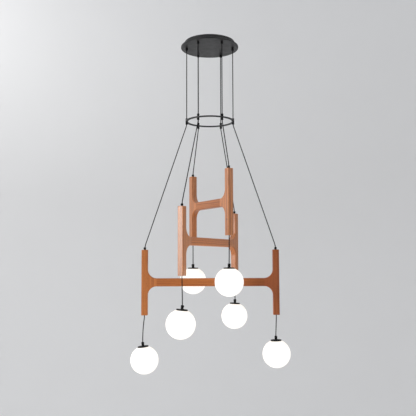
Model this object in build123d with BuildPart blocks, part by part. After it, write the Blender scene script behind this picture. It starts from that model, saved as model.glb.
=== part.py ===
from build123d import *
import math
import os

# Orb chandelier. Millimetres, +Z up. The origin is the centre of the canopy's
# top face, where it meets the ceiling. The low frame lies along X.

# --- driving dimensions -------------------------------------------------
# canopy
pan_r, pan_h, pan_wall = 140.0, 23.0, 2.0        # narrow drum against the ceiling
plate_r, plate_h, plate_wall = 160.0, 8.0, 2.5   # wide cover disc below it
spigot_r, spigot_wall, spigot_h = 137.7, 2.5, 10.0
entry_r = 10.0                                   # supply cable entry
fix_pcd, fix_hole_r, fix_count = 190.0, 2.75, 4  # ceiling screws
side_screws, side_screw_r, side_screw_z = 4, 2.0, -18.0
# cords, grips and ring
cord_r = 2.5
cord_circle = 128.5            # radius of the circle that the six cords hang on
grip_r, grip_h, grip_bore = 6.25, 14.0, 2.9
stem_r = 5.0                   # M10x1 hollow stem
ring_z, ring_w, ring_t = -447.0, 13.0, 6.5
tail_z = -6.5                  # height of the cord tails inside the canopy
# frames: name, direction of the right-hand end, half span, height of the tops
frames = [
    ("top", -60.0, 192.0, -734.0),
    ("mid", 60.0, 292.5, -940.5),
    ("low", 0.0, 355.5, -1156.0),
]
up_h, up_w, up_t = 351.0, 34.0, 34.0             # upright: height, width, depth
bar_h, flare, edge_r = 43.5, 48.0, 5.0           # crossbar height, horn radius, round-over
tenon_h, tenon_t, tenon_l = 24.0, 14.0, 22.0
bore_r = 4.5
insert_r, insert_l = 6.5, 12.0                   # threaded insert for a grip's stem
# lamps
globe_r, glass, neck_r = 75.0, 3.0, 15.6
glass_top = 68.0
disc_r, disc_low, disc_h = 29.0, 68.5, 6.5
neck_top, pivot_down = 95.0, 2.0
neck_screw = {"mid_left": 1, "top_left": -1, "mid_right": -1}     # side of the neck's screw, in front where not named
# name, end (+1 right, -1 left), globe centre below the upright, sideways shift
# of the globe, tilt (degrees, lower side to the right), cord's bends (x, z) from its exit
lamps = [
    ("top_left", "top", -1, 244.0, 0.0, 0.0, []),
    ("top_right", "top", 1, 241.0, -1.5, 0.0, [(-0.2, -40.0)]),
    ("mid_left", "mid", -1, 240.0, -6.3, -5.2, [(0.1, -14.0), (0.8, -60.0), (1.6, -102.0)]),
    ("mid_right", "mid", 1, 242.0, -4.0, -2.6, [(0.3, -40.0)]),
    ("low_left", "low", -1, 237.0, 1.0, 6.2, [(-0.2, -10.0), (-4.6, -43.0), (-7.4, -77.0), (-8.7, -112.0)]),
    ("low_right", "low", 1, 207.5, -1.6, 1.6, [(-0.6, -22.0)]),
]

os.makedirs("parts", exist_ok=True)


def write(made, label):
    """Label a finished piece and write its file."""
    made.part.label = label
    export_step(made.part, f"parts/{label}.step")


def flat_dir(angle):
    """The horizontal unit vector at that angle."""
    return Vector(math.cos(math.radians(angle)), math.sin(math.radians(angle)), 0)


def upright_plane(angle):
    """The plane of a frame: x along the frame, y up."""
    e = flat_dir(angle)
    return Plane(origin=(0, 0, 0), x_dir=e, z_dir=(e.Y, -e.X, 0))


def tube(label, points, radii):
    """A cord along straight runs joined by tangent arcs."""
    with BuildPart() as cord:
        with BuildLine() as path:
            if len(points) > 2:
                FilletPolyline(*points, radius=radii)
            else:
                Polyline(*points)
        with BuildSketch(Plane(origin=path.line @ 0, z_dir=path.line % 0)):
            Circle(cord_r)
        sweep(path=path.line)
    long = sum(edge.length for edge in path.edges())
    print(
        f"{label}: length {long:.1f}, radii {[round(r, 1) for r in radii]}, "
        f"volume / section x length {cord.part.volume / (math.pi * cord_r**2 * long):.4f}"
    )
    write(cord, label)


def largest_radii(points):
    """For each corner 0.45 of its shorter run over the tangent of half its turn."""
    found = []
    for a, b, c in zip(points, points[1:], points[2:]):
        one, two = Vector(*b) - Vector(*a), Vector(*c) - Vector(*b)
        turn = math.radians(one.get_angle(two))
        found.append(0.45 * min(one.length, two.length) / math.tan(turn / 2))
    return found


# --- canopy ---------------------------------------------------------------
with BuildPart() as ceiling_pan:
    with BuildSketch(Plane.XY.offset(-pan_h)):
        Circle(pan_r)
    extrude(amount=pan_h)
    fillet(ceiling_pan.edges().group_by(Axis.Z)[-1], 1.0)
    with BuildSketch(Plane.XY.offset(-pan_h)):
        Circle(pan_r - pan_wall)
    extrude(amount=pan_h - pan_wall, mode=Mode.SUBTRACT)
    with BuildSketch(Plane.XY.offset(-pan_wall)):
        Circle(entry_r)
        with PolarLocations(fix_pcd / 2, fix_count, 45):
            Circle(fix_hole_r)
    extrude(amount=pan_wall, mode=Mode.SUBTRACT)
    for i in range(side_screws):
        out = flat_dir(30 + 90 * i)
        with BuildSketch(Plane(origin=out * (pan_r - 6) + Vector(0, 0, side_screw_z), z_dir=out)):
            Circle(side_screw_r + 0.1)
        extrude(amount=10, mode=Mode.SUBTRACT)
write(ceiling_pan, "ceiling_pan")

plate_low = -pan_h - plate_h
with BuildPart() as canopy_plate:
    with BuildSketch(Plane.XZ):
        with BuildLine():
            Polyline(
                (0, plate_low),
                (plate_r, plate_low),
                (plate_r, -pan_h),
                (spigot_r, -pan_h),
                (spigot_r, -pan_h + spigot_h),
                (spigot_r - spigot_wall, -pan_h + spigot_h),
                (spigot_r - spigot_wall, -pan_h - 2.0),
                (plate_r - plate_wall, -pan_h - 2.0),
                (plate_r - plate_wall, plate_low + plate_wall),
                (0, plate_low + plate_wall),
                close=True,
            )
        make_face()
    revolve(axis=Axis.Z)
    rim = canopy_plate.edges().filter_by(GeomType.CIRCLE).filter_by(lambda e: abs(e.radius - plate_r) < 0.01)
    fillet(rim, 1.2)
    with BuildSketch(Plane.XY.offset(plate_low)):
        with PolarLocations(cord_circle, 6):
            Circle(stem_r + 0.1)
    extrude(amount=plate_wall, mode=Mode.SUBTRACT)
    for i in range(side_screws):
        out = flat_dir(30 + 90 * i)
        with BuildSketch(Plane(origin=out * (spigot_r - 4) + Vector(0, 0, side_screw_z), z_dir=out)):
            Circle(side_screw_r + 0.05)
        extrude(amount=6, mode=Mode.SUBTRACT)
write(canopy_plate, "canopy_plate")

with BuildPart() as canopy_fasteners:
    for i in range(side_screws):
        out = flat_dir(30 + 90 * i)
        with BuildSketch(Plane(origin=out * (spigot_r - 6) + Vector(0, 0, side_screw_z), z_dir=out)):
            Circle(side_screw_r)
        extrude(amount=pan_r - spigot_r + 6.5)
        with BuildSketch(Plane(origin=out * (pan_r + 0.1) + Vector(0, 0, side_screw_z), z_dir=out)):
            Circle(3.6)
        extrude(amount=2.2, taper=15)
        with BuildSketch(Plane(origin=out * (pan_r + 1.2) + Vector(0, 0, side_screw_z), z_dir=out)):
            RegularPolygon(1.35, 6)
        extrude(amount=2, mode=Mode.SUBTRACT)
    with BuildSketch(Plane.XY.offset(plate_low + plate_wall)):
        with PolarLocations(cord_circle, 6):
            RegularPolygon(7.0, 6, major_radius=False)
            Circle(stem_r + 0.05, mode=Mode.SUBTRACT)
    extrude(amount=3.0)
write(canopy_fasteners, "canopy_fasteners")

with BuildPart() as terminal_block:
    for side in (-1, 1):
        with BuildSketch(Plane.XY.offset(-16)):
            with Locations((side * 33.0, 0)):
                Rectangle(17, 62)
        extrude(amount=14)
    fillet(terminal_block.edges().filter_by(Axis.Z), 1.5)
    with BuildSketch(Plane.XY.offset(-16)):
        with Locations((-33, 0), (33, 0)):
            with GridLocations(9, 9.6, 2, 6):
                Circle(1.9)
    extrude(amount=3, mode=Mode.SUBTRACT)
write(terminal_block, "terminal_block")

# --- cord grips -------------------------------------------------------------
# One barrel with a flared bore and a side screw, standing on z = 0.
with BuildPart() as grip_barrel:
    with BuildSketch(Plane.XY):
        Circle(grip_r)
    extrude(amount=grip_h)
    fillet(grip_barrel.edges(), 1.4)
    with BuildSketch(Plane.XY):
        Circle(grip_bore)
    extrude(amount=grip_h, mode=Mode.SUBTRACT)
    mouths = grip_barrel.edges().filter_by(GeomType.CIRCLE).filter_by(lambda e: abs(e.radius - grip_bore) < 0.01)
    chamfer(mouths, 0.9)
    with BuildSketch(Plane(origin=(0, 0, grip_h / 2), z_dir=(1, 0, 0))):
        Circle(1.5)
    extrude(amount=grip_r + 1, mode=Mode.SUBTRACT)

with BuildPart() as grip_screw:
    with BuildSketch(Plane(origin=(cord_r + 0.1, 0, grip_h / 2), z_dir=(1, 0, 0))):
        Circle(1.45)
    extrude(amount=grip_r + 2.0 - cord_r)
    chamfer(grip_screw.edges().group_by(Axis.X)[-1], 0.3)
    with BuildSketch(Plane(origin=(grip_r + 1.3, 0, grip_h / 2), z_dir=(1, 0, 0))):
        Rectangle(0.6, 4)
    extrude(amount=2, mode=Mode.SUBTRACT)

# Twelve on the ring, six under the canopy with a hollow stem through the plate.
ring_top, ring_low = ring_z + ring_t / 2, ring_z - ring_t / 2
with BuildPart() as cord_grips:
    for k in range(6):
        at = flat_dir(60 * k) * cord_circle
        for z, turn in ((plate_low - grip_h, 60 * k + 180), (ring_top, 60 * k + 90), (ring_low - grip_h, 60 * k - 60)):
            with Locations(Location((at.X, at.Y, z), (0, 0, turn))):
                add(grip_barrel.part)
                add(grip_screw.part)
        with BuildSketch(Plane(origin=(at.X, at.Y, plate_low), z_dir=(0, 0, 1))):
            Circle(stem_r)
            Circle(grip_bore, mode=Mode.SUBTRACT)
        extrude(amount=8.0)
write(cord_grips, "cord_grips")

with BuildPart() as spreader_ring:
    with BuildSketch(Plane.XY.offset(ring_low)):
        Circle(cord_circle + ring_w / 2)
        Circle(cord_circle - ring_w / 2, mode=Mode.SUBTRACT)
    extrude(amount=ring_t)
    fillet(spreader_ring.edges(), 1.2)
    with BuildSketch(Plane.XY.offset(ring_low)):
        with PolarLocations(cord_circle, 6):
            Circle(grip_bore + 0.1)
    extrude(amount=ring_t, mode=Mode.SUBTRACT)
write(spreader_ring, "spreader_ring")

# --- cords from the terminal blocks to the lower ring grips -----------------
swing_z = ring_low - grip_h + 2.8     # the frames swing about the cords here
for k in range(6):
    at = flat_dir(60 * k) * cord_circle
    side = 1 if at.X > 0 else -1
    if k in (0, 3):      # from the strip's side
        tail = [(41.5, -8.0), (64.0, -8.0), (91.0, -5.5)]
        tail = [(side * x, y) for x, y in tail]
    else:                # from the strip's end
        tail = [(34.0, 31.0), (34.0, 53.0), (42.0, 80.0)]
        tail = [(side * x, math.copysign(y, at.Y)) for x, y in tail]
    points = [(x, y, tail_z) for x, y in tail]
    points += [(at.X, at.Y, tail_z), (at.X, at.Y, swing_z + 1.2)]
    radii = largest_radii(points)[:2] + [12.0]
    name = {0: "low_right", 3: "low_left", 4: "mid_left", 1: "mid_right", 2: "top_left", 5: "top_right"}[k]
    tube(f"{name}_upper_cord", points, radii)

# --- wooden frames -----------------------------------------------------------
for name, angle, half, top in frames:
    plane = upright_plane(angle)
    e, n = flat_dir(angle), upright_plane(angle).z_dir
    low, mid = top - up_h, top - up_h / 2
    for side, word in ((-1, "left"), (1, "right")):

        def p(x, z):
            """A point of the frame's plane, x inwards from the upright's axis."""
            return (side * (half - x), z)

        seam = up_w / 2 + flare
        h = bar_h / 2
        c = flare * math.sqrt(0.5)
        with BuildPart() as upright:
            with BuildSketch(plane):
                with BuildLine():
                    Polyline(p(up_w / 2, low), p(-up_w / 2, low), p(-up_w / 2, top), p(up_w / 2, top))
                    Line(p(up_w / 2, top), p(up_w / 2, mid + h + flare))
                    ThreePointArc(p(up_w / 2, mid + h + flare), p(seam - c, mid + h + flare - c), p(seam, mid + h))
                    Line(p(seam, mid + h), p(seam, mid - h))
                    ThreePointArc(p(seam, mid - h), p(seam - c, mid - h - flare + c), p(up_w / 2, mid - h - flare))
                    Line(p(up_w / 2, mid - h - flare), p(up_w / 2, low))
                make_face()
            extrude(amount=up_t / 2, both=True)

            def long_edge(edge):
                """An edge of the front or back face, apart from its ends and the seam."""
                m = edge @ 0.5
                on_face = abs(abs(m.dot(n)) - up_t / 2) < 0.01
                end = abs(m.Z - top) < 0.01 or abs(m.Z - low) < 0.01
                joint = abs(side * m.dot(e) - (half - seam)) < 0.01
                return on_face and not end and not joint

            fillet(upright.edges().filter_by(long_edge), edge_r)
            fillet(upright.faces().sort_by(Axis.Z)[-1].edges(), 1.5)
            fillet(upright.faces().sort_by(Axis.Z)[0].edges(), 1.5)
            at = e * side * half
            with BuildSketch(Plane(origin=(at.X, at.Y, low), z_dir=(0, 0, 1))):
                Circle(bore_r)
            extrude(amount=up_h, mode=Mode.SUBTRACT)
            with BuildSketch(Plane(origin=(at.X, at.Y, top - insert_l - 0.8), z_dir=(0, 0, 1))):
                Circle(insert_r + 0.05)
            extrude(amount=insert_l + 0.8, mode=Mode.SUBTRACT)
            face = e * side * (half - seam)
            with BuildSketch(Plane(origin=(face.X, face.Y, mid), x_dir=n, z_dir=e * side)):
                Rectangle(tenon_t + 0.2, tenon_h + 0.2)
            extrude(amount=tenon_l + 0.4, mode=Mode.SUBTRACT)
        write(upright, f"{name}_upright_{word}")

        # cord from the ring, over the grip and down the bore
        points = [
            (side * cord_circle, swing_z),
            (side * cord_circle, ring_low - grip_h - 3.8),
            (side * half, top + grip_h + 4.6),
            (side * half, low + 4.4),
        ]
        points = [(e.X * u, e.Y * u, z) for u, z in points]
        tube(f"{name}_{word}_cord", points, [20.0, 20.0])

    with BuildPart() as crossbar:
        with BuildSketch(plane):
            with Locations((0, mid)):
                Rectangle(2 * (half - up_w / 2 - flare), bar_h)
        extrude(amount=up_t / 2, both=True)
        fillet(crossbar.edges().filter_by(lambda edge: abs((edge % 0.5).dot(e)) > 0.99), edge_r)
        with BuildSketch(plane):
            with Locations((0, mid)):
                Rectangle(2 * (half - up_w / 2 - flare + tenon_l), tenon_h)
        extrude(amount=tenon_t / 2, both=True)
    write(crossbar, f"{name}_crossbar")

    with BuildPart() as top_grips:
        for side in (-1, 1):
            at = e * side * half
            with Locations(Location((at.X, at.Y, top), (0, 0, 180))):
                add(grip_barrel.part)
                add(grip_screw.part)
            with BuildSketch(Plane(origin=(at.X, at.Y, top), z_dir=(0, 0, -1))):
                Circle(stem_r)
                Circle(grip_bore, mode=Mode.SUBTRACT)
            extrude(amount=11.0)
            with BuildSketch(Plane(origin=(at.X, at.Y, top - 0.6), z_dir=(0, 0, -1))):
                Circle(insert_r)
                Circle(stem_r + 0.05, mode=Mode.SUBTRACT)
            extrude(amount=insert_l)
    write(top_grips, f"{name}_grips")

# --- lamps ---------------------------------------------------------------------
ends = {name: (angle, half, top - up_h) for name, angle, half, top in frames}
for name, frame, side, drop, shift, tilt, bends in lamps:
    angle, half, low = ends[frame]
    out = flat_dir(angle) * side * half
    t = math.radians(tilt)
    centre = Vector(out.X + shift, out.Y, low - drop)
    up = Vector(-math.sin(t), 0, math.cos(t))
    across = Vector(math.cos(t), 0, math.sin(t))
    section = Plane(origin=centre, x_dir=across, z_dir=(0, -1, 0))
    spin = Axis(centre, up)

    def level(height, turn=0.0):
        """The plane across the lamp's axis at that height above the globe's centre."""
        return Plane(origin=centre + up * height, x_dir=across, z_dir=up)

    pivot = centre + up * (neck_top - pivot_down)
    points = [(out.X, out.Y, low + 3.0)]
    points += [(out.X + x, out.Y, low + z) for x, z in bends]
    points += [(pivot.X, pivot.Y, pivot.Z)]
    tube(f"{name}_drop_cord", points, largest_radii(points))

    with BuildPart() as cap:
        with BuildSketch(section):
            with BuildLine():
                Polyline(
                    (stem_r + 0.1, disc_low),
                    (disc_r, disc_low),
                    (disc_r, disc_low + disc_h - 1.6),
                    (disc_r - 1.2, disc_low + disc_h - 0.6),
                    (9.6, disc_low + disc_h + 0.2),
                    (7.0, disc_low + disc_h + 1.6),
                    (6.6, disc_low + disc_h + 3.4),
                    (7.5, disc_low + disc_h + 5.0),
                    (7.5, neck_top - 1.6),
                    (6.0, neck_top),
                    (5.0, neck_top),
                    (grip_bore, neck_top - 3.0),
                    (grip_bore, 84.0),
                    (stem_r + 0.1, 84.0),
                    close=True,
                )
            make_face()
        revolve(axis=spin)
        faced = across * neck_screw[name] if name in neck_screw else Vector(0, -1, 0)
        with BuildSketch(Plane(origin=centre + up * 89.0, z_dir=faced)):
            Circle(2.0)
        extrude(amount=9, mode=Mode.SUBTRACT)
        with BuildSketch(Plane(origin=centre + up * 89.0 + faced * (cord_r + 0.1), z_dir=faced)):
            Circle(1.95)
        extrude(amount=6.9)
        with BuildSketch(Plane(origin=centre + up * 89.0 + faced * 9.0, z_dir=faced)):
            Rectangle(0.7, 5)
        extrude(amount=2, mode=Mode.SUBTRACT)
    write(cap, f"{name}_cap")

    with BuildPart() as lampholder:
        with BuildSketch(section):
            with BuildLine():
                Polyline(
                    (0, 46.0),
                    (14.2, 46.0),
                    (15.2, 47.0),
                    (15.2, disc_low - 0.1),
                    (stem_r, disc_low - 0.1),
                    (stem_r, 83.5),
                    (0, 83.5),
                    close=True,
                )
            make_face()
        revolve(axis=spin)
        with BuildSketch(level(46.0)):
            Rectangle(17.0, 10.0)
        extrude(amount=12.5, mode=Mode.SUBTRACT)
        with BuildSketch(level(58.0)):
            Circle(3.2)
        extrude(amount=30, mode=Mode.SUBTRACT)
    write(lampholder, f"{name}_lampholder")

    with BuildPart() as bulb:
        with BuildSketch(section):
            with BuildLine():
                Line((0, 44.0), (0, 4.0))
                ThreePointArc((0, 4.0), (8.0 * math.sqrt(0.5), 12.0 - 8.0 * math.sqrt(0.5)), (8.0, 12.0))
                Line((8.0, 12.0), (8.0, 41.0))
                Line((8.0, 41.0), (6.0, 44.0))
                Line((6.0, 44.0), (0, 44.0))
            make_face()
        revolve(axis=spin)
        with BuildSketch(level(43.0)):
            Rectangle(16.0, 9.0)
        extrude(amount=14.5)
    write(bulb, f"{name}_bulb")

    rim = math.sqrt(globe_r**2 - glass_top**2)
    inner = globe_r - glass
    rim_in = math.sqrt(inner**2 - (glass_top - glass) ** 2)
    with BuildPart() as globe:
        with BuildSketch(section):
            with BuildLine():
                ThreePointArc((0, -globe_r), (globe_r, 0), (rim, glass_top))
                Polyline(
                    (rim, glass_top),
                    (neck_r, glass_top),
                    (neck_r, glass_top - 14.0),
                    (neck_r + glass, glass_top - 14.0),
                    (neck_r + glass, glass_top - glass),
                    (rim_in, glass_top - glass),
                )
                ThreePointArc((rim_in, glass_top - glass), (inner, 0), (0, -inner))
                Line((0, -inner), (0, -globe_r))
            make_face()
        revolve(axis=spin)
    write(globe, f"{name}_globe")
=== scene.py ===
import bpy
import math
from mathutils import Matrix, Vector


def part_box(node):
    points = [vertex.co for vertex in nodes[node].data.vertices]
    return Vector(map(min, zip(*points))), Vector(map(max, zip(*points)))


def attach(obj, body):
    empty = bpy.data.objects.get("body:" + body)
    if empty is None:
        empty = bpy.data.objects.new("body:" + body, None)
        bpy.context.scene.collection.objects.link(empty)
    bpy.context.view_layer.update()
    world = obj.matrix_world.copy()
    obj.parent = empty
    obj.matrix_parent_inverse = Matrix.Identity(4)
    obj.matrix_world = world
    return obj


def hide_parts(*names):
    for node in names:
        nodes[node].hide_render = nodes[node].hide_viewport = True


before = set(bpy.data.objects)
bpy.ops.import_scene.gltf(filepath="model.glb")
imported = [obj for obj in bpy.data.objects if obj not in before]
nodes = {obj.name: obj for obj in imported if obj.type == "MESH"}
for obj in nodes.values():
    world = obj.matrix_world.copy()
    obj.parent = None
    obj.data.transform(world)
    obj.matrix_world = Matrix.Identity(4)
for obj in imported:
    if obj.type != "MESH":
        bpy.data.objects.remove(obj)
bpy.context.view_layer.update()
scene = bpy.context.scene
scene.view_settings.view_transform = "Standard"

# --- camera ------------------------------------------------------------------
# A fit to the photograph: 3.37 m away, 1.22 m below the ceiling, pitched up 5 degrees.
cam_data = bpy.data.cameras.new("camera")
cam_data.sensor_width = 36.0
cam_data.lens = 53.44
cam = bpy.data.objects.new("camera", cam_data)
scene.collection.objects.link(cam)
cam.matrix_world = (
    Matrix.Translation((-0.0506, -3.3677, -1.2233))
    @ Matrix.Rotation(-0.0115, 4, "Z")
    @ Matrix.Rotation(math.pi / 2 + 0.0874, 4, "X")
    @ Matrix.Rotation(-0.003, 4, "Z")
)
scene.camera = cam

# --- cords -------------------------------------------------------------------
# The routes of the CAD cords, in millimetres, with a point near each end of the long straight stretches.
CORD = 0.005
CIRCLE, RING_LOW, GRIP, TAIL_Z = 128.5, -450.25, 14.0, -6.5
SWING_Z = RING_LOW - GRIP + 2.8
UP_H = 351.0
FRAMES = [("top", -60.0, 192.0, -734.0), ("mid", 60.0, 292.5, -940.5), ("low", 0.0, 355.5, -1156.0)]
LAMPS = [
    ("top_left", "top", -1, 244.0, 0.0, 0.0, []),
    ("top_right", "top", 1, 241.0, -1.5, 0.0, [(-0.2, -40.0)]),
    ("mid_left", "mid", -1, 240.0, -6.3, -5.2, [(0.1, -14.0), (0.8, -60.0), (1.6, -102.0)]),
    ("mid_right", "mid", 1, 242.0, -4.0, -2.6, [(0.3, -40.0)]),
    ("low_left", "low", -1, 237.0, 1.0, 6.2, [(-0.2, -10.0), (-4.6, -43.0), (-7.4, -77.0), (-8.7, -112.0)]),
    ("low_right", "low", 1, 207.5, -1.6, 1.6, [(-0.6, -22.0)]),
]
cords = []


def direction(angle):
    return Vector((math.cos(math.radians(angle)), math.sin(math.radians(angle)), 0.0))


def between(a, b, far):
    """The point on the way from a to b, at that distance from a."""
    a, b = Vector(a), Vector(b)
    return a + (b - a).normalized() * far


def smooth_line(name, points):
    """The line of an order 3 NURBS spline with the points, in millimetres, as its control points."""
    data = bpy.data.curves.new(name, "CURVE")
    data.dimensions = "3D"
    data.resolution_u = 24
    spline = data.splines.new("NURBS")
    spline.points.add(len(points) - 1)
    for place, p in zip(spline.points, points):
        place.co = (p[0] / 1000, p[1] / 1000, p[2] / 1000, 1.0)
    spline.order_u = 3
    spline.use_endpoint_u = True
    holder = bpy.data.objects.new(name, data)
    mesh = bpy.data.meshes.new_from_object(holder)
    line = [v.co.copy() for v in mesh.vertices]
    bpy.data.meshes.remove(mesh)
    bpy.data.objects.remove(holder)
    bpy.data.curves.remove(data)
    if (line[0] - Vector(points[0]) / 1000).length > (line[-1] - Vector(points[0]) / 1000).length:
        line.reverse()
    return line


def cord(name, points, body, node):
    """A smooth round cord along the points, which are in millimetres. Its UV runs round it, 0 to 1, and along it, in metres."""
    line = smooth_line(f"{name}_line", points)
    sides, r, far = 16, CORD / 2, 0.0
    way = (line[1] - line[0]).normalized()
    across = way.orthogonal().normalized()
    verts, faces, uvs = [], [], []
    lengths = []
    for i, at in enumerate(line):
        ahead = line[min(i + 1, len(line) - 1)] - line[max(i - 1, 0)]
        turned = ahead.normalized()
        across = (way.rotation_difference(turned) @ across)
        across = (across - turned * across.dot(turned)).normalized()
        way = turned
        if i:
            far += (at - line[i - 1]).length
        lengths.append(far)
        for j in range(sides):
            t = math.tau * j / sides
            verts.append(at + (across * math.cos(t) + way.cross(across) * math.sin(t)) * r)
    for i in range(len(line) - 1):
        for j in range(sides):
            k = (j + 1) % sides
            faces.append((i * sides + j, i * sides + k, (i + 1) * sides + k, (i + 1) * sides + j))
            u0, u1 = j / sides, (j + 1) / sides
            uvs += [(u0, lengths[i]), (u1, lengths[i]), (u1, lengths[i + 1]), (u0, lengths[i + 1])]
    for i, order in ((0, range(sides - 1, -1, -1)), (len(line) - 1, range(sides))):
        faces.append(tuple(i * sides + j for j in order))
        uvs += [(j / sides, lengths[i]) for j in order]
    mesh = bpy.data.meshes.new(name)
    mesh.from_pydata(verts, [], faces)
    layer = mesh.uv_layers.new(name="sleeve")
    for place, uv in zip(layer.data, uvs):
        place.uv = uv
    mesh.polygons.foreach_set("use_smooth", [len(p.vertices) == 4 for p in mesh.polygons])
    piece = bpy.data.objects.new(name, mesh)
    scene.collection.objects.link(piece)
    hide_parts(node)
    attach(piece, body)
    cords.append(piece)
    return piece, [tuple(p) for p in line]


for k, name in {0: "low_right", 3: "low_left", 4: "mid_left", 1: "mid_right", 2: "top_left", 5: "top_right"}.items():
    at = direction(60 * k) * CIRCLE
    side = 1 if at.x > 0 else -1
    if k in (0, 3):
        tail = [(side * x, y) for x, y in [(41.5, -8.0), (64.0, -8.0), (91.0, -5.5)]]
    else:
        tail = [(side * x, math.copysign(y, at.y)) for x, y in [(34.0, 31.0), (34.0, 53.0), (42.0, 80.0)]]
    points = [(x, y, TAIL_Z) for x, y in tail]
    points += [(at.x, at.y, TAIL_Z), (at.x, at.y, TAIL_Z - 36.0), (at.x, at.y, SWING_Z + 1.2)]
    made, line = cord(f"{name}_upper_sleeve", points, "root", f"{name}_upper_cord")

for name, angle, half, top in FRAMES:
    e = direction(angle)
    for side, word in ((-1, "left"), (1, "right")):
        flat = [
            (side * CIRCLE, SWING_Z),
            (side * CIRCLE, RING_LOW - GRIP - 3.8),
            (side * half, top + GRIP + 4.6),
            (side * half, top - UP_H + 4.4),
        ]
        p = [Vector((e.x * u, e.y * u, z)) for u, z in flat]
        points = [p[0], p[1], between(p[1], p[2], 36.0), between(p[2], p[1], 36.0), p[2], between(p[2], p[3], 36.0), p[3]]
        made, line = cord(f"{name}_{word}_sleeve", points, f"{name}_frame", f"{name}_{word}_cord")

ends = {name: (angle, half, top - UP_H) for name, angle, half, top in FRAMES}
for name, of, side, drop, shift, tilt, bends in LAMPS:
    angle, half, low = ends[of]
    out = direction(angle) * side * half
    t = math.radians(tilt)
    pivot = Vector((out.x + shift - math.sin(t) * 93.0, out.y, low - drop + math.cos(t) * 93.0))
    points = [Vector((out.x, out.y, low + 3.0))] + [Vector((out.x + x, out.y, low + z)) for x, z in bends] + [pivot]
    made, line = cord(f"{name}_drop_sleeve", points, f"{name}_drop", f"{name}_drop_cord")


# --- materials ---------------------------------------------------------------
class Graph:
    """A small helper to write node trees in few lines."""

    def __init__(self, name):
        self.material = bpy.data.materials.new(name)
        self.material.use_nodes = True
        self.tree = self.material.node_tree
        self.shader = self.tree.nodes["Principled BSDF"]

    def node(self, kind, inputs=None, **settings):
        made = self.tree.nodes.new(kind)
        for key, value in settings.items():
            setattr(made, key, value)
        for key, value in (inputs or {}).items():
            self.put(made, key, value)
        return made

    def put(self, made, key, value):
        if isinstance(value, bpy.types.NodeSocket):
            self.tree.links.new(value, made.inputs[key])
        else:
            made.inputs[key].default_value = value

    def set(self, **values):
        for key, value in values.items():
            self.put(self.shader, key.replace("_", " "), value)

    def math(self, operation, a, b=0.0, c=0.0, clamp=False):
        made = self.node("ShaderNodeMath", operation=operation, use_clamp=clamp)
        for i, value in enumerate((a, b, c)):
            self.put(made, i, value)
        return made.outputs[0]

    def noise(self, vector, scale, detail=2.0, rough=0.5, distortion=0.0):
        made = self.node("ShaderNodeTexNoise", {"Vector": vector, "Scale": scale, "Detail": detail, "Roughness": rough, "Distortion": distortion})
        return made.outputs["Fac"]

    def line(self, value, a, b, c=0.0, d=1.0):
        """value from a..b to c..d, held at the ends."""
        made = self.node("ShaderNodeMapRange", {"Value": value, "From Min": a, "From Max": b, "To Min": c, "To Max": d})
        made.clamp = True
        return made.outputs["Result"]

    def mix(self, share, a, b, blend="MIX"):
        made = self.node("ShaderNodeMix", data_type="RGBA", blend_type=blend)
        self.put(made, 0, share)
        self.put(made, 6, a)
        self.put(made, 7, b)
        return made.outputs[2]

    def ramp(self, value, stops):
        made = self.node("ShaderNodeValToRGB", {"Fac": value})
        ramp = made.color_ramp
        while len(ramp.elements) < len(stops):
            ramp.elements.new(0.5)
        for element, (place, colour) in zip(ramp.elements, stops):
            element.position = place
            element.color = (*colour, 1.0)
        return made.outputs["Color"]

    def bump(self, height, strength, distance):
        made = self.node("ShaderNodeBump", {"Height": height, "Strength": strength, "Distance": distance})
        self.put(self.shader, "Normal", made.outputs["Normal"])

    def place(self, angle=0.0, move=(0.0, 0.0, 0.0), scale=(1.0, 1.0, 1.0)):
        """The row frame's coordinates, turned about Z, then moved and scaled."""
        at = self.node("ShaderNodeTexCoord").outputs["Object"]
        turned = self.node("ShaderNodeMapping", {"Vector": at, "Rotation": (0.0, 0.0, math.radians(-angle))})
        moved = self.node("ShaderNodeMapping", {"Vector": turned.outputs[0], "Location": move, "Scale": scale})
        return turned.outputs[0], moved.outputs[0]


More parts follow.
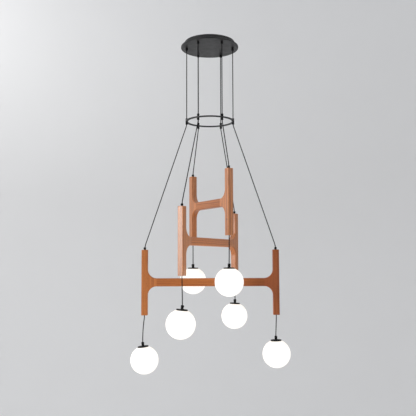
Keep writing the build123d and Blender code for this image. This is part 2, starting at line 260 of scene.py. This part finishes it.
def wood(name, angle, grain, seed, centre, light, dark, knots=(), sheen=0.6, coat=0.35, painted_shade_fade=None):
    """Oiled hardwood. grain is the axis that the fibres run along, x or z, in the frame's own directions;
    centre is the heart of the tree across the grain; knots are (place, size) in those directions; painted_shade_fade is
    (from, to, share) for a piece painted darker along the grain as painted shade, where less light falls on it."""
    g = Graph(name)
    base, _ = g.place(angle)
    xyz = g.node("ShaderNodeSeparateXYZ", {"Vector": base}).outputs
    along, u = (xyz[0], xyz[2]) if grain == "x" else (xyz[2], xyz[0])
    v = xyz[1]
    local = g.node("ShaderNodeCombineXYZ", {0: u, 1: v, 2: along}).outputs[0]
    seeded = g.node("ShaderNodeVectorMath", {0: local, 1: (seed * 1.37, seed * 2.11, seed * 0.83)}, operation="ADD").outputs[0]

    # the rings are bent by slow waves along the grain
    stretched = g.node("ShaderNodeVectorMath", {0: seeded, 1: (1.0, 1.0, 0.16)}, operation="MULTIPLY").outputs[0]
    wave = g.node("ShaderNodeTexNoise", {"Vector": stretched, "Scale": 14.0, "Detail": 2.0, "Roughness": 0.45})
    bent = g.node("ShaderNodeVectorMath", {0: wave.outputs["Color"], 1: (0.5, 0.5, 0.5)}, operation="SUBTRACT").outputs[0]
    bent = g.node("ShaderNodeVectorMath", {0: bent, 1: (0.030, 0.030, 0.0)}, operation="MULTIPLY").outputs[0]
    bent = g.node("ShaderNodeVectorMath", {0: local, 1: bent}, operation="ADD").outputs[0]
    flat = g.node("ShaderNodeVectorMath", {0: bent, 1: (centre[0], centre[1], 0.0)}, operation="SUBTRACT").outputs[0]
    for place, size in knots:
        # rings part round a knot
        away = g.node("ShaderNodeVectorMath", {0: local, 1: place}, operation="SUBTRACT").outputs[0]
        away = g.node("ShaderNodeVectorMath", {0: away, 1: (1.0, 1.0, 0.55)}, operation="MULTIPLY").outputs[0]
        far = g.node("ShaderNodeVectorMath", {0: away}, operation="LENGTH").outputs["Value"]
        push = g.line(far, 0.0, size * 4.0, 1.0, 0.0)
        push = g.math("MULTIPLY", g.math("POWER", push, 2.0), size * 0.9)
        flat = g.node("ShaderNodeVectorMath", {0: flat, 1: g.node("ShaderNodeCombineXYZ", {0: push, 1: 0.0, 2: 0.0}).outputs[0]}, operation="ADD").outputs[0]
    flat = g.node("ShaderNodeVectorMath", {0: flat, 1: (1.0, 1.0, 0.0)}, operation="MULTIPLY").outputs[0]
    radius = g.node("ShaderNodeVectorMath", {0: flat}, operation="LENGTH").outputs["Value"]
    rings = g.node("ShaderNodeTexNoise", {"W": g.math("MULTIPLY_ADD", radius, 210.0, seed * 7.0), "Scale": 1.0, "Detail": 2.0, "Roughness": 0.6}, noise_dimensions="1D").outputs["Fac"]
    rings = g.line(rings, 0.30, 0.72)

    # fibres, short dark pores and slow changes of tone
    fine = g.node("ShaderNodeVectorMath", {0: seeded, 1: (900.0, 900.0, 16.0)}, operation="MULTIPLY").outputs[0]
    fibre = g.line(g.noise(fine, 1.0, 2.0, 0.6), 0.30, 0.70)
    dashes = g.node("ShaderNodeVectorMath", {0: seeded, 1: (1300.0, 1300.0, 75.0)}, operation="MULTIPLY").outputs[0]
    pores = g.line(g.noise(dashes, 1.0, 0.0), 0.66, 0.74)
    blotch = g.line(g.noise(stretched, 9.0, 2.0, 0.5, 0.4), 0.30, 0.70)

    tone = g.math("ADD", g.math("MULTIPLY", rings, 0.60), g.math("MULTIPLY", fibre, 0.20))
    tone = g.math("ADD", tone, g.math("MULTIPLY", blotch, 0.24))
    middle = tuple(0.55 * a + 0.45 * b for a, b in zip(light, dark))
    colour = g.ramp(tone, [(0.12, light), (0.52, middle), (0.95, dark)])
    # painted shade: the colour is darkened along the grain between the two points, where less light falls on the piece
    if painted_shade_fade:
        share = g.math("ADD", g.line(along, painted_shade_fade[0], painted_shade_fade[1], 0.0, painted_shade_fade[2]), g.math("MULTIPLY", g.math("SUBTRACT", blotch, 0.5), 0.12), clamp=True)
        colour = g.mix(share, colour, g.mix(1.0, colour, (0.42, 0.30, 0.34, 1.0), "MULTIPLY"))
    colour = g.mix(g.math("MULTIPLY", pores, 0.55), colour, (*[c * 0.42 for c in dark], 1.0))
    for place, size in knots:
        away = g.node("ShaderNodeVectorMath", {0: local, 1: place}, operation="SUBTRACT").outputs[0]
        away = g.node("ShaderNodeVectorMath", {0: away, 1: (1.0, 1.0, 0.62)}, operation="MULTIPLY").outputs[0]
        far = g.node("ShaderNodeVectorMath", {0: away}, operation="LENGTH").outputs["Value"]
        far = g.math("ADD", far, g.math("MULTIPLY", g.math("SUBTRACT", wave.outputs["Fac"], 0.5), size * 0.5))
        colour = g.mix(g.line(far, size * 0.55, size * 1.25, 0.92, 0.0), colour, (*[c * 0.30 for c in dark], 1.0))
    g.set(Base_Color=colour, Roughness=g.math("MULTIPLY_ADD", fibre, 0.12, 0.34))
    g.shader.inputs["IOR"].default_value = 1.5
    g.shader.inputs["Specular IOR Level"].default_value = sheen
    g.shader.inputs["Coat Weight"].default_value = coat
    g.shader.inputs["Coat Roughness"].default_value = 0.30
    height = g.math("SUBTRACT", g.math("MULTIPLY", fibre, 0.5), pores)
    height = g.math("ADD", height, g.math("MULTIPLY", rings, -0.35))
    g.bump(height, 0.35, 0.00022)
    return g.material


def black_metal(name, base, speckle, rough, peel, gloss):
    """Painted or blackened metal with a fine orange peel, faint wear and dust in its tone."""
    g = Graph(name)
    at, _ = g.place()
    fine = g.noise(at, peel, 2.0, 0.5)
    slow = g.line(g.noise(at, 26.0, 3.0, 0.55), 0.35, 0.65)
    dust = g.line(g.noise(at, 900.0, 0.0), 0.70, 0.80)
    colour = g.mix(slow, tuple(c * 0.86 for c in base) + (1.0,), tuple(c * 1.14 for c in base) + (1.0,))
    colour = g.mix(g.math("MULTIPLY", dust, speckle), colour, (0.16, 0.16, 0.16, 1.0))
    g.set(Base_Color=colour, Roughness=g.math("MULTIPLY_ADD", slow, 0.08, rough))
    g.shader.inputs["Specular IOR Level"].default_value = gloss
    g.bump(fine, 0.25, 0.00012)
    return g.material


def opal(name, centre):
    """Lit satin opal glass: a little dimmer and warmer towards the neck, with faint clouding."""
    g = Graph(name)
    at, _ = g.place()
    away = g.node("ShaderNodeVectorMath", {0: at, 1: tuple(centre)}, operation="SUBTRACT").outputs[0]
    up = g.node("ShaderNodeSeparateXYZ", {"Vector": away}).outputs[2]
    neck = g.line(up, 0.030, 0.074)
    cloud = g.noise(at, 38.0, 3.0, 0.5)
    g.set(Base_Color=g.mix(cloud, (0.79, 0.78, 0.76, 1.0), (0.82, 0.815, 0.80, 1.0)))
    g.set(Roughness=g.math("MULTIPLY_ADD", cloud, 0.10, 0.22))
    g.set(Emission_Color=g.mix(neck, (1.0, 0.955, 0.885, 1.0), (1.0, 0.90, 0.76, 1.0)))
    glow = g.math("MULTIPLY_ADD", neck, -0.12, GLOW)
    g.set(Emission_Strength=g.math("ADD", glow, g.math("MULTIPLY", cloud, 0.06)))
    g.shader.inputs["IOR"].default_value = 1.5
    g.shader.inputs["Coat Weight"].default_value = 0.3
    g.shader.inputs["Coat Roughness"].default_value = 0.08
    return g.material


GLOW = 0.70


def put(node, material, slot=None):
    """Gives a CAD node its material."""
    data = nodes[node].data
    data.materials.clear()
    data.materials.append(material)


# wood: each piece has its own heart and seed, and its tone is scaled per piece as painted light and shade
LIGHT, DARK = (0.66, 0.245, 0.072), (0.290, 0.084, 0.023)
for i, (name, angle, half, top) in enumerate(FRAMES):
    mid = (top - UP_H / 2) / 1000
    low = name == "low"
    gloss = {"sheen": 0.30, "coat": 0.06}
    for j, word in enumerate(("left", "right")):
        side = (-1, 1)[j]
        x = side * half / 1000
        knots = []
        if (name, word) == ("top", "right"):
            knots = [((x + 0.005, -0.017, -1.003), 0.0042)]
        # painted light and shade: each upright's wood colour is made lighter or darker by how light falls on that piece
        tone = {"top": (0.94, 1.06), "mid": (0.95, 0.91), "low": (1.02, 1.0)}[name][j]
        light, dark = [c * tone for c in LIGHT], [c * tone for c in DARK]
        # painted shade: the low uprights are darkened, the right one most, where less light reaches them
        if low:
            painted_shade = ((0.87, 0.84, 0.86), (0.68, 0.54, 0.61))[j]
            light, dark = [c * k for c, k in zip(light, painted_shade)], [c * k for c, k in zip(dark, painted_shade)]
        if (name, word) in (("mid", "left"), ("top", "right")):
            gloss = {"sheen": 0.70, "coat": 0.62}
        elif not low:
            gloss = {"sheen": 0.60, "coat": 0.30}
        put(f"{name}_upright_{word}", wood(
            f"{name}_{word}_wood", angle, "z", 1.0 + i * 3 + j,
            (x - side * 0.055, 0.060 - 0.03 * i), light, dark, knots, **gloss))
    gloss = {"sheen": 0.30, "coat": 0.06} if low else {"sheen": 0.50, "coat": 0.20}
    # painted shade: each crossbar's colour is darkened by how light falls on it, and the low bar is painted darker
    # towards its right end
    painted_shade = {"top": (0.82, 0.76, 0.70), "mid": (0.98, 0.97, 1.0), "low": (0.85, 0.79, 0.73)}[name]
    put(f"{name}_crossbar", wood(
        f"{name}_bar_wood", angle, "x", 11.0 + i, (mid - 0.075, 0.045 * (1 - i)),
        [c * painted_shade[k] for k, c in enumerate(LIGHT)],
        [c * painted_shade[k] for k, c in enumerate(DARK)],
        painted_shade_fade=(0.06, 0.26, 0.62) if low else None, **gloss))

powder = black_metal("powder_coat", (0.0045, 0.0045, 0.0048), 0.03, 0.38, 1500.0, 0.52)
hardware = black_metal("black_hardware", (0.0055, 0.0055, 0.0058), 0.05, 0.50, 2600.0, 0.20)
steel = black_metal("blackened_steel", (0.030, 0.030, 0.031), 0.10, 0.30, 3000.0, 0.35)
steel.node_tree.nodes["Principled BSDF"].inputs["Metallic"].default_value = 0.8
for name in ("ceiling_pan", "canopy_plate", "spreader_ring"):
    put(name, powder)
for name in ["cord_grips"] + [f"{f[0]}_grips" for f in FRAMES] + [f"{l[0]}_cap" for l in LAMPS]:
    put(name, hardware)
put("canopy_fasteners", steel)

# terminal blocks, lampholders and lamps, inside the canopy and the globes
g = Graph("terminal_plastic")
at, _ = g.place()
cloud = g.noise(at, 60.0, 3.0)
g.set(Base_Color=g.mix(cloud, (0.74, 0.73, 0.69, 1.0), (0.82, 0.81, 0.78, 1.0)), Roughness=g.math("MULTIPLY_ADD", cloud, 0.15, 0.42))
g.bump(g.noise(at, 2200.0), 0.2, 0.0001)
put("terminal_block", g.material)

g = Graph("glazed_ceramic")
at, _ = g.place()
cloud = g.noise(at, 45.0, 2.0)
g.set(Base_Color=g.mix(cloud, (0.80, 0.78, 0.73, 1.0), (0.87, 0.86, 0.83, 1.0)), Roughness=g.math("MULTIPLY_ADD", cloud, 0.10, 0.12))
g.shader.inputs["Coat Weight"].default_value = 0.6
g.bump(g.noise(at, 120.0), 0.1, 0.0003)
for name, *_ in LAMPS:
    put(f"{name}_lampholder", g.material)

g = Graph("frosted_envelope")
at, _ = g.place()
cloud = g.noise(at, 300.0, 2.0)
g.set(Base_Color=g.mix(cloud, (0.88, 0.86, 0.80, 1.0), (0.95, 0.94, 0.90, 1.0)), Roughness=g.math("MULTIPLY_ADD", cloud, 0.20, 0.45))
g.set(Emission_Color=(1.0, 0.93, 0.82, 1.0), Emission_Strength=g.math("MULTIPLY_ADD", cloud, 0.6, 2.2))
g.material.cycles.emission_sampling = "NONE"
for name, *_ in LAMPS:
    put(f"{name}_bulb", g.material)

for name, *_ in LAMPS:
    low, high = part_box(f"{name}_globe")
    put(f"{name}_globe", opal(f"{name}_opal", (low + high) / 2))

# cord sleeves: two sets of eight yarns cross each other, worked out round and along the cord
g = Graph("black_textile_cord")
uv = g.node("ShaderNodeTexCoord").outputs["UV"]
xyz = g.node("ShaderNodeSeparateXYZ", {"Vector": uv}).outputs
at, _ = g.place()
turn = g.math("MULTIPLY", xyz[0], math.tau * 8.0)
along = g.math("MULTIPLY", xyz[1], math.tau / 0.0021)
one = g.math("SINE", g.math("ADD", turn, along))
two = g.math("SINE", g.math("SUBTRACT", turn, along))
weave = g.line(g.math("MAXIMUM", one, two), -0.5, 1.0)
fuzz = g.noise(at, 4200.0, 2.0)
colour = g.mix(weave, (0.0035, 0.0035, 0.0038, 1.0), (0.014, 0.014, 0.0148, 1.0))
colour = g.mix(g.math("MULTIPLY", g.line(fuzz, 0.58, 0.80), 0.35), colour, (0.035, 0.035, 0.036, 1.0))
g.set(Base_Color=colour, Roughness=g.math("MULTIPLY_ADD", fuzz, 0.1, 0.80))
g.shader.inputs["Specular IOR Level"].default_value = 0.18
g.bump(g.math("ADD", weave, g.math("MULTIPLY", fuzz, 0.4)), 0.6, 0.0003)
for piece in cords:
    piece.data.materials.append(g.material)


# --- studio ------------------------------------------------------------------
def lathe(name, profile, steps):
    """A round shell from (radius, height) points."""
    verts, faces = [], []
    for r, z in profile:
        for i in range(steps):
            a = math.tau * i / steps
            verts.append((r * math.cos(a), r * math.sin(a), z))
    for j in range(len(profile) - 1):
        for i in range(steps):
            k = (i + 1) % steps
            faces.append((j * steps + i, j * steps + k, (j + 1) * steps + k, (j + 1) * steps + i))
    verts.append((0.0, 0.0, profile[0][1]))
    faces += [(len(verts) - 1, (i + 1) % steps, i) for i in range(steps)]
    mesh = bpy.data.meshes.new(name)
    mesh.from_pydata(verts, [], faces)
    mesh.polygons.foreach_set("use_smooth", [True] * len(mesh.polygons))
    made = bpy.data.objects.new(name, mesh)
    scene.collection.objects.link(made)
    return made


FLOOR_Z, R_FLAT, R_WALL, Z_WALL, Z_TOP = -3.25, 3.4, 6.6, -0.2, 3.8
profile = [(r, FLOOR_Z) for r in (0.5, 1.5, 2.5, R_FLAT)]
for i in range(1, 25):
    a = math.pi / 2 * i / 24
    profile.append((R_FLAT + (R_WALL - R_FLAT) * math.sin(a), FLOOR_Z + (Z_WALL - FLOOR_Z) * (1 - math.cos(a))))
profile += [(R_WALL, Z_WALL + (Z_TOP - Z_WALL) * s) for s in (0.33, 0.66, 1.0)]
floor = lathe("studio_floor", profile, 128)
g = Graph("studio_paper")
at, _ = g.place()
g.set(Base_Color=g.mix(g.noise(at, 1.5, 3.0), (0.78, 0.775, 0.772, 1.0), (0.80, 0.795, 0.792, 1.0)))
g.set(Roughness=0.9)
floor.data.materials.append(g.material)

world = bpy.data.worlds.new("studio")
scene.world = world
world.use_nodes = True
back = world.node_tree.nodes["Background"]
back.inputs[0].default_value = (0.93, 0.96, 1.0, 1.0)
back.inputs[1].default_value = 0.775


def lamp(name, place, aim, size, power, colour):
    """A large soft area light that the camera doesn't see."""
    data = bpy.data.lights.new(name, "AREA")
    data.shape = "RECTANGLE"
    data.size, data.size_y = size
    data.energy = power
    data.color = colour
    made = bpy.data.objects.new(name, data)
    scene.collection.objects.link(made)
    made.location = place
    made.rotation_mode = "QUATERNION"
    made.rotation_quaternion = (Vector(aim) - Vector(place)).to_track_quat("-Z", "Y")
    made.visible_camera = False
    return made


lamp("key", (-2.7, -1.5, -0.6), (0.0, 0.0, -1.1), (1.2, 1.6), 50.0, (1.0, 0.985, 0.965))
lamp("rim", (-2.5, 1.5, -0.7), (0.0, 0.0, -1.1), (1.2, 1.6), 2.0, (1.0, 0.99, 0.98))
lamp("fill", (2.5, -2.1, 0.5), (0.0, 0.0, -1.1), (1.6, 1.6), 5.5, (1.0, 0.99, 0.98))
lamp("wall_wash", (-3.2, 2.4, 2.6), (-3.6, 5.7, 1.5), (2.0, 1.5), 70.0, (1.0, 1.0, 1.0))

# The lit globes also shine on the wood around them, more than their own faces can without washing out.
wooden = bpy.data.collections.new("wood")
for name, *_ in FRAMES:
    for word in ("upright_left", "upright_right", "crossbar"):
        wooden.objects.link(nodes[f"{name}_{word}"])
for name, *_ in LAMPS:
    low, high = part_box(f"{name}_globe")
    data = bpy.data.lights.new(f"{name}_shine", "POINT")
    data.shadow_soft_size = 0.07
    data.energy = 0.80
    data.color = (1.0, 0.88, 0.70)
    made = bpy.data.objects.new(f"{name}_shine", data)
    scene.collection.objects.link(made)
    made.location = (Vector(low) + Vector(high)) / 2
    made.visible_camera = False
    made.visible_glossy = False
    made.light_linking.receiver_collection = wooden
    made.light_linking.blocker_collection = wooden
